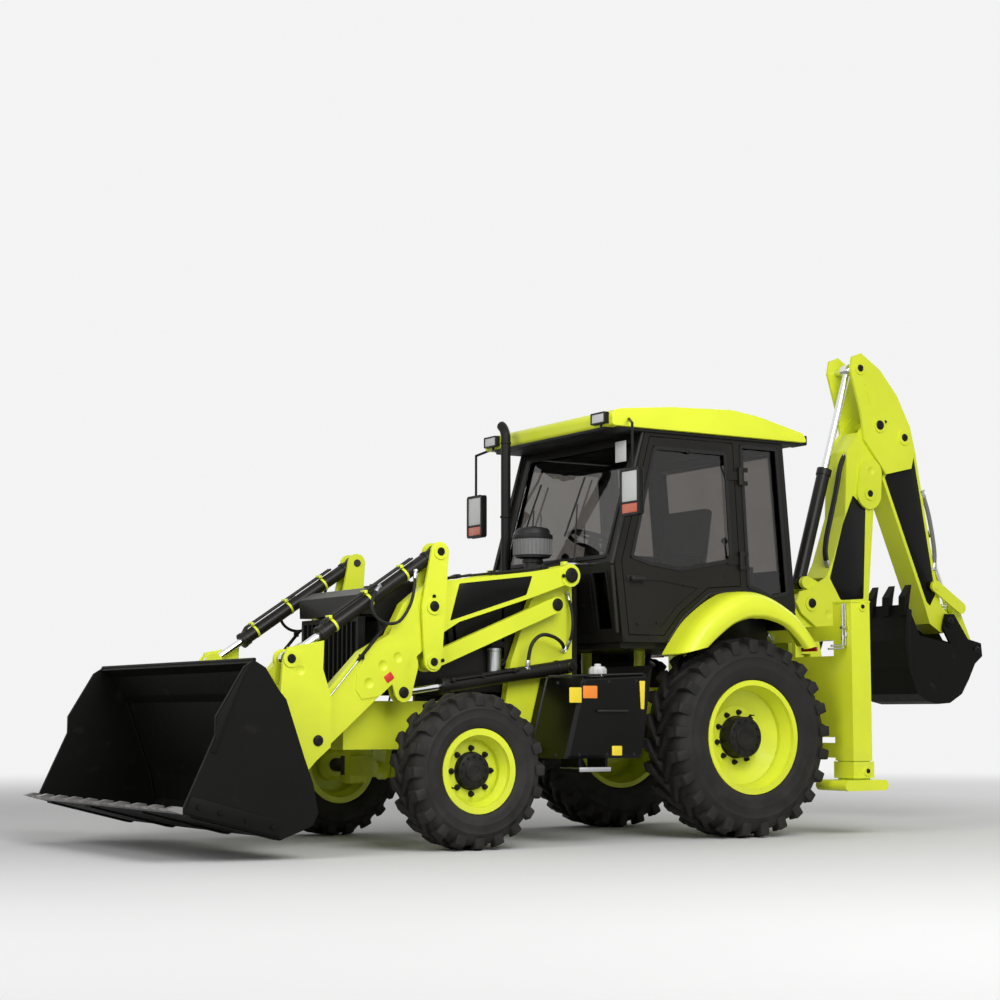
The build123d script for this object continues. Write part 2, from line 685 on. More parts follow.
def make_levers():
    y_in = ARM_Y - ARM_WIDTH / 2 - SIDE_GAP - LEVER_PLATE
    y_out = ARM_Y + ARM_WIDTH / 2 + SIDE_GAP + LEVER_PLATE
    outline = strap(LEVER_TOP, 62, LEVER_PIVOT, 85) + strap(LEVER_PIVOT, 85, LEVER_BOTTOM, 60)
    lever = lever_plates(outline)
    # Raised rings stand round the pins on the outer plate.
    for place, radius in ((LEVER_TOP, 48), (LEVER_PIVOT, 52), (LEVER_BOTTOM, 46)):
        lever += pin(place, y_out - 1, y_out + BOSS, radius)
    lever -= pin(LEVER_PIVOT, y_in - 1, y_out + BOSS + 1, ARM_PIN_RADIUS + PIN_CLEARANCE)
    lever += pin(LEVER_BOTTOM, y_in - 6, y_out + BOSS + PIN_HEAD, 25)
    lever -= pin(LEVER_TOP, y_in - 1, y_out + BOSS + 1, 25 + PIN_CLEARANCE)
    write("loader_levers", *pair(lever))

    tilt_pin = pin(LEVER_TOP, y_in - 6, y_out + BOSS + PIN_HEAD, 25)
    write("tilt_cylinder_pins", *pair(tilt_pin))

    link = side(strap(LINK_REAR, LINK_EYE_RADIUS, LEVER_BOTTOM, LINK_EYE_RADIUS), ARM_Y - LINK_HALF, ARM_Y + LINK_HALF)
    link -= pin(LEVER_BOTTOM, ARM_Y - 40, ARM_Y + 40, 25 + PIN_CLEARANCE)
    link += pin(LINK_REAR, TOWER_OUT + SIDE_GAP, ARM_Y + LINK_HALF + BOSS, 25)
    link += pin(LINK_REAR, ARM_Y + LINK_HALF - 1, ARM_Y + LINK_HALF + BOSS, 40)
    write("levelling_links", *pair(link))


def cylinder(base, eye, barrel_length, barrel_radius, rod_radius, tail, y, base_pin_radius, eye_half):
    """Barrel and rod of a cylinder in a side view plane. The rod's eye ends short of its lugs."""
    mouth = along(base, eye, barrel_length)
    bore = rod(at(along(base, eye, BORE_START), y), at(along(base, eye, barrel_length + 1), y), rod_radius + PIN_CLEARANCE)
    barrel = rod(at(base, y), at(mouth, y), barrel_radius)
    barrel += rod(at(along(base, eye, barrel_length - 50), y), at(mouth, y), barrel_radius + 7)
    barrel -= bore
    barrel -= side(disc(base, CYLINDER_EYE_RADIUS + 1), y + eye_half, y + 200)
    barrel -= side(disc(base, CYLINDER_EYE_RADIUS + 1), y - 200, y - eye_half)
    barrel += pin(base, y - eye_half, y + eye_half, CYLINDER_EYE_RADIUS)
    barrel -= pin(base, y - 200, y + 200, base_pin_radius + PIN_CLEARANCE)
    tip = along(eye, base, CYLINDER_EYE_RADIUS - 8)
    piston = rod(at(along(base, eye, tail), y), at(tip, y), rod_radius)
    piston += pin(eye, y - eye_half, y + eye_half, CYLINDER_EYE_RADIUS)
    return barrel, piston


def make_loader_cylinders():
    barrel, piston = cylinder(LEVER_TOP, HITCH_TOP, TILT_BARREL_LENGTH, TILT_BARREL_RADIUS, TILT_ROD_RADIUS,
                              TILT_TAIL, ARM_Y, 25, CYL_EYE_HALF)
    write("tilt_barrels", *pair(barrel))
    write("tilt_rods", *pair(piston))
    barrel, piston = cylinder(LIFT_BASE, LIFT_EYE, LIFT_BARREL_LENGTH, LIFT_BARREL_RADIUS, LIFT_ROD_RADIUS,
                              LIFT_TAIL, ARM_Y, 26, CYL_EYE_HALF)
    write("lift_barrels", *pair(barrel))
    write("lift_rods", *pair(piston))


def make_hitch():
    y_in = ARM_Y - ARM_WIDTH / 2 - SIDE_GAP - LEVER_PLATE
    y_out = ARM_Y + ARM_WIDTH / 2 + SIDE_GAP + LEVER_PLATE
    # The tip pins end a shaft between the arms, which carries the bar that the hitch rolls back against.
    shaft_end = y_in - SIDE_GAP
    shaft = pin(ARM_TIP, -shaft_end, shaft_end, SHAFT_RADIUS)
    for s in SIDES:
        pin_y = sorted((s * (shaft_end - 1), s * (y_out + 6)))
        shaft += pin(ARM_TIP, pin_y[0], pin_y[1], ARM_PIN_RADIUS)
        arm_y = sorted((s * (shaft_end - STOP_ARM), s * shaft_end))
        shaft += side(strap(ARM_TIP, SHAFT_RADIUS, STOP_BAR, STOP_BAR_RADIUS), arm_y[0], arm_y[1])
    shaft += pin(STOP_BAR, -shaft_end, shaft_end, STOP_BAR_RADIUS)
    write("hitch_shaft", shaft)

    outline = polygon(
        (3311, 1133),
        (3280, 1215),
        (3200, 1230),
        (3040, 1260),
        (3045, 1087),
        (2990, 923),
        (2990, 620),
        (3085, 540),
        (3144, 479),
        (3300, 520),
        (3330, 900),
    )
    inner_outline = strap(ARM_TIP, 75, HITCH_TOP, 60) + polygon(
        (3075, 600), (3085, 540), (3144, 479), (3300, 520), (3330, 900), (3311, 1133), (3150, 700))
    plate_in = ARM_Y - ARM_WIDTH / 2 - SIDE_GAP
    plate_out = ARM_Y + ARM_WIDTH / 2 + SIDE_GAP
    hitch = side(outline, plate_out, plate_out + LEVER_PLATE)
    hitch += side(inner_outline, plate_in - LEVER_PLATE, plate_in)
    hitch -= pin(ARM_TIP, y_in - 1, y_out + 1, ARM_PIN_RADIUS + PIN_CLEARANCE)
    hitch += pin(HITCH_TOP, y_out - 1, y_out + BOSS, 52)
    hitch += pin(HITCH_TOP, y_out, y_out + BOSS + PIN_HEAD, 27)
    hitch -= dent((3195, 1079), y_out, 30, 8)
    both = hitch + mirrored(hitch)
    # Cross tube and lower hooks join the two sides in front of the arms' tips.
    both += block((3220, 3290), (-y_out, y_out), (600, 660))
    both += block((3240, 3300), (-y_out, y_out), (930, 990))
    write("loader_hitch", both)


def bucket_outline():
    return polygon(
        (3820, 1083),
        (3762, 1119),
        (3690, 1078),
        (3604, 950),
        (3560, 900),
        (3442, 571),
        (3387, 429),
        (3352, 263),
        (3384, 193),
        (3580, 123),
        (4177, 275),
        (4177, 295),
        (3990, 700),
        (3990, 803),
    )


def shell_outline(thickness):
    outer = [
        (3762, 1119),
        (3690, 1078),
        (3604, 950),
        (3560, 900),
        (3442, 571),
        (3387, 429),
        (3352, 263),
        (3384, 193),
        (3580, 123),
        (4177, 275),
    ]
    inner = [
        (4177 - 4, 275 + thickness),
        (3580 + 2, 123 + thickness + 1),
        (3384 + 12, 193 + thickness),
        (3352 + thickness, 263 + 2),
        (3387 + thickness, 429 - 4),
        (3442 + thickness, 571 - 6),
        (3560 + thickness, 900 - 8),
        (3604 + thickness, 950 - 12),
        (3690 + 8, 1078 - thickness),
        (3762 + 8, 1119 - thickness),
    ]
    return polygon(*outer, *inner)


def make_loader_bucket():
    shell = side(shell_outline(BUCKET_SHELL), -BUCKET_HALF_WIDTH, BUCKET_HALF_WIDTH)
    bucket = shell
    for s in SIDES:
        y = sorted((s * BUCKET_HALF_WIDTH, s * (BUCKET_HALF_WIDTH - BUCKET_SIDE)))
        bucket += side(bucket_outline(), y[0], y[1])
    # Hooks and ribs on the back take the hitch.
    y_in = ARM_Y - ARM_WIDTH / 2 - SIDE_GAP - LEVER_PLATE
    y_out = ARM_Y + ARM_WIDTH / 2 + SIDE_GAP + LEVER_PLATE
    rib = polygon((3300, 520), (3330, 900), (3335, 940), (3562, 905), (3444, 575), (3389, 433), (3345, 300))
    for s in SIDES:
        for low, high in ((y_in, y_in + LEVER_PLATE), (y_out - LEVER_PLATE, y_out)):
            y = sorted((s * low, s * high))
            bucket += side(rib, y[0], y[1])
    # Five low ribs stiffen the back, and four strips below the floor take the wear.
    stiffener = polygon((3352, 300), (3389, 433), (3444, 575), (3562, 905), (3522, 905), (3398, 600), (3340, 430))
    for y in BACK_RIBS_Y:
        bucket += side(stiffener, y - BACK_RIB / 2, y + BACK_RIB / 2)
    strip = polygon((3395, 190), (3580, 124), (4120, 262), (4120, 262 - WEAR_STRIP), (3580, 124 - WEAR_STRIP),
                    (3395, 190 - WEAR_STRIP))
    for y in WEAR_STRIPS_Y:
        bucket += side(strip, y - 45, y + 45)
    write("loader_bucket", bucket)

    edge = side(polygon((EDGE_X, 273), (EDGE_X, 292), (4222, 302), (4226, 289)), -BUCKET_HALF_WIDTH, BUCKET_HALF_WIDTH)
    step = 2 * (BUCKET_HALF_WIDTH - TOOTH_WIDTH / 2) / (BUCKET_TEETH - 1)
    tooth_outline = polygon((EDGE_X, 292), (EDGE_X, 312), (4215, 318), (TOOTH_TIP_X, 304), (4226, 287), (4222, 301))
    for count in range(BUCKET_TEETH):
        y = -BUCKET_HALF_WIDTH + TOOTH_WIDTH / 2 + step * count
        edge += side(tooth_outline, y - TOOTH_WIDTH / 2, y + TOOTH_WIDTH / 2)
    write("loader_bucket_teeth", edge)


# Cab


CAB_FRONT_MID = (981, 1822)
CAB_FRONT_LOW = (920, CAB_FLOOR)
ROOF_UNDER = 2705


def cab_side_outline():
    return polygon(
        CAB_FRONT_LOW,
        CAB_FRONT_MID,
        (725, ROOF_UNDER),
        (-446, ROOF_UNDER),
        (-542, 1592),
        (-542, 1500),
        (-330, 1560),
        (-67, 1650),
        (200, 1610),
        (420, 1450),
        (560, CAB_FLOOR),
    )


def door_outline():
    return polygon(
        (870, 1340),
        (925, 1822),
        (690, 2660),
        (-5, 2660),
        (-60, 1690),
        (215, 1668),
        (450, 1500),
        (590, 1340),
    )


def quarter_outline():
    return polygon((-65, 2660), (-400, 2660), (-485, 1640), (-330, 1610), (-120, 1680))


def inset(sketch, distance):
    return offset(sketch, -distance)


def make_cab():
    y_out = CAB_HALF_WIDTH
    y_in = CAB_HALF_WIDTH - CAB_WALL
    wall = side(cab_side_outline(), y_in, y_out)
    wall -= side(offset(door_outline(), DOOR_GAP), y_in - 1, y_out + 1)
    wall -= side(quarter_outline(), y_in - 1, y_out + 1)
    cab = wall + mirrored(wall)
    # Front wall follows the windscreen's slope above and leans back below.
    upper = polygon((981, 1822), (725, ROOF_UNDER), (665, ROOF_UNDER), (918, 1822))
    lower = polygon((920, CAB_FLOOR), (981, 1822), (918, 1822), (860, CAB_FLOOR))
    inner_half = y_in + 1
    front_wall = side(upper + lower, -inner_half, inner_half)
    screen = front(polygon((-inner_half + 40, 1850), (-inner_half + 40, 2640), (inner_half - 40, 2640),
                           (inner_half - 40, 1850)), 400, 1200)
    low_left = front(polygon((470, 1370), (470, 1760), (inner_half - 50, 1760), (inner_half - 50, 1370)), 400, 1200)
    cab += front_wall - screen - low_left - mirrored(low_left)
    # Rear wall with one large window.
    rear_wall = side(polygon((-446, ROOF_UNDER), (-542, 1592), (-542, 1400), (-490, 1400), (-490, 1592),
                             (-395, ROOF_UNDER)), -inner_half, inner_half)
    rear_window = front(polygon((-inner_half + 50, 1800), (-inner_half + 50, 2630), (inner_half - 50, 2630),
                                (inner_half - 50, 1800)), -700, -300)
    cab += rear_wall - rear_window
    # Floor with raised wheel wells behind the door sill.
    cab += block((560, 920 - 20), (-inner_half, inner_half), (CAB_FLOOR - 40, CAB_FLOOR))
    cab += block((-490, 561), (-500, 500), (CAB_FLOOR - 40, CAB_FLOOR))
    for s in SIDES:
        well = polygon((560, CAB_FLOOR - 40), (561, CAB_FLOOR), (430, 1440), (210, 1600), (-67, 1640), (-330, 1550),
                       (-495, 1495), (-495, 1470), (-330, 1520), (-67, 1610), (190, 1570), (400, 1420),
                       (530, CAB_FLOOR - 10), (530, CAB_FLOOR - 40))
        y = sorted((s * 500, s * inner_half))
        cab += side(well, y[0], y[1])
        inner_wall = polygon((561, CAB_FLOOR - 40), (561, CAB_FLOOR), (430, 1440), (210, 1600), (-67, 1640),
                             (-330, 1550), (-495, 1495), (-495, CAB_FLOOR - 40))
        y = sorted((s * 485, s * 501))
        cab += side(inner_wall, y[0], y[1])
    # Door hinges: two knuckles and a pin on each post, above and below the door's knuckle.
    for z in DOOR_HINGES_Z:
        place = (DOOR_HINGE[0], DOOR_HINGE[1])
        for s in SIDES:
            knuckle_z = z + s * (HINGE_LENGTH * 0.75 + 1)
            hinge = Pos(*place, knuckle_z) * Cylinder(HINGE_RADIUS, HINGE_LENGTH / 2)
            hinge += block((place[0] - 70, place[0]), (y_out - 1, y_out + 8),
                           (knuckle_z - HINGE_LENGTH / 4, knuckle_z + HINGE_LENGTH / 4))
            cab += hinge + mirrored(hinge)
        hinge_pin = Pos(*place, z) * Cylinder(HINGE_PIN, HINGE_LENGTH * 2)
        cab += hinge_pin + mirrored(hinge_pin)
    write("cab_frame", cab)

    # Each pane fits its opening with a seat's gap all round.
    panes = []
    screen_pane = side(polygon((960, 1835), (722, 2650), (716, 2648), (954, 1833)), -inner_half + 40 + SEAT_GAP, inner_half - 40 - SEAT_GAP)
    panes.append(screen_pane & side(polygon((400, 1850.3), (400, 2639.7), (1200, 2639.7), (1200, 1850.3)), -800, 800))
    low_pane = side(polygon((915, 1370.3), (961, 1759.7), (955, 1759.7), (909, 1370.3)), 470 + SEAT_GAP,
                    inner_half - 50 - SEAT_GAP)
    panes += [low_pane, mirrored(low_pane)]
    quarter = side(inset(quarter_outline(), SEAT_GAP), y_out - 30, y_out - 30 + GLASS)
    panes += [quarter, mirrored(quarter)]
    rear_pane = side(polygon((-442, 2629.7), (-513, 1800.3), (-507, 1800.3), (-436, 2629.7)),
                     -inner_half + 50 + SEAT_GAP, inner_half - 50 - SEAT_GAP)
    panes.append(rear_pane)
    write("cab_glass", *panes)


def make_doors():
    y_out = CAB_HALF_WIDTH
    y_in = CAB_HALF_WIDTH - 35
    door = side(door_outline(), y_in, y_out)
    opening = polygon(
        (860, 1845),
        (665, 2600),
        (50, 2600),
        (5, 1850),
        (250, 1805),
        (450, 1770),
        (700, 1800),
    )
    door -= side(opening, y_in - 1, y_out + 1)
    # The panel below the window has one wide pressed field.
    low = polygon((820, 1390), (848, 1700), (610, 1700), (300, 1660), (480, 1530), (610, 1390))
    door -= side(low, y_out - PRESSING, y_out + 1)
    glass = side(inset(opening, SEAT_GAP), y_in + 14, y_in + 14 + GLASS)
    handle = block((760, 870), (y_out, y_out + 25), (1690, 1720))
    door += handle
    for z in DOOR_HINGES_Z:
        knuckle = Pos(DOOR_HINGE[0], DOOR_HINGE[1], z) * Cylinder(HINGE_RADIUS, HINGE_LENGTH)
        leaf_z = (z - HINGE_LENGTH / 2, z + HINGE_LENGTH / 2)
        leaf = block((DOOR_HINGE[0], DOOR_HINGE[0] + 110), (y_out + SEAT_GAP, y_out + 8), leaf_z)
        leaf += block((DOOR_HINGE[0] + 62, DOOR_HINGE[0] + 110), (y_out - 1, y_out + 1), leaf_z)
        door += knuckle + leaf
        door -= Pos(DOOR_HINGE[0], DOOR_HINGE[1], z) * Cylinder(HINGE_PIN + PIN_CLEARANCE, HINGE_LENGTH * 2)
    for name, solid in (("door", door), ("door_glass", glass)):
        write(f"{name}_left", solid)
        write(f"{name}_right", mirrored(solid))


def make_roof():
    # Each row: x, and height above the cab's top rail.
    rows = ((1030, 35), (1030, 95), (977, 118), (542, 161), (32, 182), (-213, 152), (-601, 65), (-630, 0), (900, 0))
    outline = polygon(*[(x, ROOF_UNDER + rise) for x, rise in rows])
    roof = side(outline, -ROOF_HALF_WIDTH, ROOF_HALF_WIDTH)
    rim_edges = [e for e in roof.edges() if abs(e.center().Y) > ROOF_HALF_WIDTH - 1 and e.center().Z > ROOF_UNDER + 70]
    roof = chamfer(rim_edges, ROOF_EDGE)
    write("cab_roof", roof)


def make_interior():
    cushion_top = CAB_FLOOR + 450
    seat = block((-160, 330), (-240, 240), (CAB_FLOOR + 330, cushion_top))
    seat += side(polygon((-160, CAB_FLOOR + 330), (-100, CAB_FLOOR + 330), (-200, CAB_FLOOR + 1000),
                         (-290, CAB_FLOOR + 1000)), -220, 220)
    seat += block((-60, 220), (-150, 150), (CAB_FLOOR, CAB_FLOOR + 331))
    for s in SIDES:
        # Armrests hang from the backrest beside the cushion.
        arm_y = sorted((s * 219, s * 255))
        seat += side(strap((-130, cushion_top + 190), 26, (190, cushion_top + 200), 22), arm_y[0], arm_y[1])
    write("operator_seat", seat)

    column = side(strap((760, CAB_FLOOR + 60), 50, (640, CAB_FLOOR + 680), 35), -40, 40)
    wheel_plane = Plane(origin=(630, 0, CAB_FLOOR + 725), z_dir=(-0.35, 0, 1))
    wheel = wheel_plane * Torus(180, 15)
    hub = wheel_plane * Cylinder(40, 60)
    column += hub
    for turn in (0, 120, 240):
        column += wheel_plane * (Rot(0, 0, turn) * (Pos(95, 0, 0) * Box(180, 18, 14)))
    column += wheel
    floor_cut = block((0, 1200), (-300, 300), (CAB_FLOOR - 200, CAB_FLOOR))
    column -= floor_cut
    dash_outline = polygon((850, CAB_FLOOR), (700, CAB_FLOOR), (700, CAB_FLOOR + 380), (760, CAB_FLOOR + 520),
                           (850, CAB_FLOOR + 500))
    column += side(dash_outline, -330, 330)
    # Two pedals hang from the dash on the right.
    for y in (-150, -260):
        column += rod((710, y, CAB_FLOOR + 200), (640, y, CAB_FLOOR + 90), 9)
        column += block((625, 645), (y - 38, y + 38), (CAB_FLOOR + 50, CAB_FLOOR + 140))
    # The rear console carries the digging levers.
    console = block((-440, -340), (-420, 420), (CAB_FLOOR, CAB_FLOOR + 560))
    for y in (-300, -200, 200, 300):
        knob = (-360, y, CAB_FLOOR + 760)
        console += rod((-390, y, CAB_FLOOR + 550), knob, 8) + Pos(*knob) * Sphere(24)
    # The loader's lever stands on a box to the right of the dash.
    box = block((575, 695), (-440, -340), (CAB_FLOOR, CAB_FLOOR + 420))
    grip = (610, -390, CAB_FLOOR + 640)
    box += rod((635, -390, CAB_FLOOR + 410), grip, 10) + Pos(*grip) * Sphere(28)
    write("cab_controls", column, console, box)


def make_fenders():
    outer = [(791, 1205), (780, 1250), (432, 1275), (330, 1420), (200, 1560), (100, 1635), (15, 1644), (-200, 1590),
             (-420, 1450), (-540, 1290), (-560, 1240)]
    inner = [(-536, 1232), (-400, 1425), (-190, 1560), (15, 1612), (90, 1604), (185, 1535), (312, 1400), (418, 1250),
             (760, 1225), (770, 1200)]
    strip = side(polygon(*outer, *inner), CAB_HALF_WIDTH, CAB_HALF_WIDTH + FENDER_WIDTH)
    write("rear_fenders", *pair(strip))


def make_lights_and_mirrors():
    lamps = []
    for s in SIDES:
        lamps.append(block((1030, 1060), sorted((s * 600, s * 760)), (2725, 2800)))
        lamps.append(block((-690, -630 - SEAT_GAP), sorted((s * 560, s * 720)), (2706, 2770)))
    write("work_lamps", *lamps)

    y = 980
    mirror_arm = rod((900, ROOF_HALF_WIDTH + 5, 2757), (1000, y, 2700), 9)
    mirror_arm += Pos(1000, y, 2700) * Sphere(9)
    mirror_arm += rod((1000, y, 2700), (1000, y, 2390), 9)
    mirror_arm += block((985, 1015), (y - 110, y + 90), (2100, 2400))
    write("mirrors", *pair(mirror_arm))


# Rear slide frame, stabilizers and backhoe


RAIL_UPPER = (1330, 1430)
RAIL_LOWER = (520, 620)
LUG_RADIUS = 105


def make_slide_frame():
    leg_in = LEG_OUT - LEG_WIDTH
    leg = block((SLIDE_REAR, SLIDE_FRONT), (leg_in, LEG_OUT), (500, LEG_TOP))
    leg -= block((SLIDE_REAR + LEG_WALL, SLIDE_FRONT - LEG_WALL), (leg_in + LEG_WALL, LEG_OUT - LEG_WALL),
                 (499, LEG_TOP - LEG_WALL))
    leg += pin(LEG_PIN, LEG_OUT - 1, LEG_OUT + BOSS, 32)
    leg += pin(LEG_PIN, LEG_OUT, LEG_OUT + BOSS + PIN_HEAD, 14)
    leg += block((SLIDE_REAR, SLIDE_FRONT + 6), (leg_in, LEG_OUT + 6), (LEG_TOP - LEG_WALL, LEG_TOP))
    frame = leg + mirrored(leg)
    for low, high in (RAIL_UPPER, RAIL_LOWER):
        frame += block((SLIDE_REAR + 60, SLIDE_FRONT), (-leg_in - 1, leg_in + 1), (low, high))
    # Side plates join the rails beside the chassis.
    for s in SIDES:
        y = sorted((s * 420, s * (leg_in + 1)))
        frame += block((SLIDE_FRONT - 25, SLIDE_FRONT), (y[0], y[1]), (660, 1220))
        y = sorted((s * 420, s * 460))
        frame += block((SLIDE_FRONT - 60, SLIDE_FRONT), (y[0], y[1]), (RAIL_LOWER[1] - 1, RAIL_UPPER[0] + 1))
    frame += block((SLIDE_FRONT - 30, SLIDE_FRONT), (-421, 421), (RAIL_REAR_LOW, RAIL_REAR_TOP))
    write("rear_slide_frame", frame)

    slack = LEG_WALL + SEAT_GAP
    inner = block((SLIDE_REAR + slack, SLIDE_FRONT - slack), (leg_in + slack, LEG_OUT - slack), (FOOT_LOW + 30, 1450))
    collar = block((SLIDE_REAR - 8, SLIDE_FRONT + 8), (leg_in - 8, LEG_OUT + 8), (LEG_LOW, 495))
    collar += pin(COLLAR_PIN, LEG_OUT + 7, LEG_OUT + 8 + BOSS, 34)
    collar += pin(COLLAR_PIN, LEG_OUT + 8, LEG_OUT + 8 + BOSS + PIN_HEAD, 15)
    foot_z = FOOT_LOW + FOOT_ROUND
    pan = strap((SLIDE_REAR - 90 + FOOT_ROUND, foot_z), FOOT_ROUND, (SLIDE_FRONT + 130 - FOOT_ROUND, foot_z), FOOT_ROUND)
    foot = side(pan, leg_in - 60, LEG_OUT + 60)
    stabilizer = inner + collar + foot
    write("stabilizer_left", stabilizer)
    write("stabilizer_right", mirrored(stabilizer))


def make_carriage():
    half = 250
    plate = block((SLIDE_REAR + 60 - 40, SLIDE_REAR + 60 - 0.5), (-half, half), (500, 1450))
    # Clamps wrap the rails from above and below.
    plate += block((SLIDE_REAR + 20, SLIDE_FRONT - 60), (-half, half), (RAIL_UPPER[1] + 0.5, RAIL_UPPER[1] + 30))
    plate += block((SLIDE_REAR + 20, SLIDE_FRONT - 60), (-half, half), (RAIL_LOWER[0] - 30, RAIL_LOWER[0] - 0.5))
    for low, high in ((1180, 1250), (560, 630)):
        lug = plan(disc((SWING_X, 0), LUG_RADIUS) + polygon(
            (SWING_X, -LUG_RADIUS), (SWING_X, LUG_RADIUS), (SWING_X + 100, LUG_RADIUS),
            (SLIDE_REAR + 40, 200), (SLIDE_REAR + 40, -200), (SWING_X + 100, -LUG_RADIUS)), low, high)
        plate += lug
        plate -= Pos(SWING_X, 0, (low + high) / 2) * Cylinder(40 + PIN_CLEARANCE, 200)
    write("slide_carriage", plate)


def make_kingpost():
    body = Pos(SWING_X, 0, (640 + 1170) / 2) * Cylinder(100, 1170 - 640)
    body += Pos(SWING_X, 0, (540 + 1280) / 2) * Cylinder(40, 1280 - 540)
    # Post above the upper lug carries the boom's foot.
    post = side(strap(BOOM_FOOT, 80, (SWING_X + 10, 1400), 90) + polygon(
        (SWING_X + 90, 1262), (SWING_X + 90, 1450), (-1320, 1600), (-1330, 1262)), -80, 80)
    body += post
    # Rear web carries the boom ram's base and stands clear of the lugs.
    web = polygon((SWING_X, 640), (SWING_X, 1170), (SWING_X - 130, 1170), (SWING_X - 130, 1262), (-1325, 1400),
                  (-1370, 1200), (-1365, 1080), (-1260, 1000), (SWING_X - 90, 800), (SWING_X - 90, 640))
    body += side(web, -80, 80)
    # The ram leans back as the boom comes down, so its slot is a wedge.
    swing_end = (BOOM_RAM_BASE[0] - 500, BOOM_RAM_BASE[1] + 250)
    lift_end = (BOOM_RAM_BASE[0] - 310, BOOM_RAM_BASE[1] + 1160)
    wedge = [disc(BOOM_RAM_BASE, 60), disc(BOOM_RAM_EYE, 60), disc(lift_end, 62), disc(swing_end, 60)]
    body -= side(make_hull([edge for end in wedge for edge in end.edges()]), -RAM_SLOT_HALF, RAM_SLOT_HALF)
    body += pin(BOOM_RAM_BASE, -79, 79, 28)
    body += pin(BOOM_FOOT, -BOOM_HALF_WIDTH - 15, BOOM_HALF_WIDTH + 15, 34)
    write("kingpost", body)


def make_boom():
    w = BOOM_HALF_WIDTH
    outline = polygon(
        (-1135, 1720),
        (-1090, 1639),
        (-1140, 1560),
        (-1390, 1388),
        (-1560, 1440),
        (-1740, 1540),
        (-1797, 1660),
        (-1880, 2480),
        (-1990, 2950),
        (-1990, 3060),
        (-1850, 3090),
        (-1610, 2795),
        (-1580, 2300),
        (-1450, 1950),
        (-1380, 1830),
        (-1230, 1740),
    )
    plates = side(outline, 95, w) + side(outline, -w, -95)
    web_outline = polygon(
        (-1610, 2795),
        (-1580, 2300),
        (-1450, 1950),
        (-1380, 1830),
        (-1400, 1815),
        (-1470, 1940),
        (-1602, 2295),
        (-1632, 2790),
        (-1760, 2930),
        (-1745, 2950),
    )
    boom = plates + side(web_outline, -96, 96)
    for s in SIDES:
        boss_y = sorted((s * (w - 1), s * (w + BOSS)))
        boom += pin(BOOM_FOOT, boss_y[0], boss_y[1], 58)
        boom -= dent((-1399, 1555), s * w, 34, 9)
    boom -= pin(BOOM_FOOT, -w - BOSS - 1, w + BOSS + 1, 34 + PIN_CLEARANCE)
    # Lobes outside carry the boom ram's pin.
    lobe = strap(BOOM_RAM_EYE, 118, (-1830, 2640), 110)
    boom += side(lobe, w, w + HEAD_PLATE) + side(lobe, -w - HEAD_PLATE, -w)
    for s in SIDES:
        boss_y = sorted((s * (w + HEAD_PLATE - 1), s * (w + HEAD_PLATE + BOSS)))
        boom += pin(BOOM_RAM_EYE, boss_y[0], boss_y[1], 52)
        boom -= dent((-1834, 2655), s * (w + HEAD_PLATE), 33, 9)
    pivot_half = HEAD_OUT + BOSS + PIN_HEAD
    boom += pin(DIPPER_PIVOT, -pivot_half, pivot_half, 36)
    # Base lug of the dipper ram on the front of the foot.
    lug = strap(DIPPER_RAM_BASE, 45, (-1330, 1745), 45)
    for s in SIDES:
        y = sorted((s * 60, s * 96))
        boom += side(lug, y[0], y[1])
    boom += pin(DIPPER_RAM_BASE, -95, 95, 26)
    write("boom", boom)

    barrel, piston = cylinder(BOOM_RAM_BASE, BOOM_RAM_EYE, BOOM_RAM_BARREL, 48, 28, BOOM_RAM_TAIL, 0, 28, 35)
    piston += pin(BOOM_RAM_EYE, -BOOM_HALF_WIDTH + 25, BOOM_HALF_WIDTH - 25, 26)
    write("boom_ram_barrel", barrel)
    write("boom_ram_rod", piston)


HEAD_IN = BOOM_HALF_WIDTH + SIDE_GAP
HEAD_OUT = HEAD_IN + HEAD_PLATE


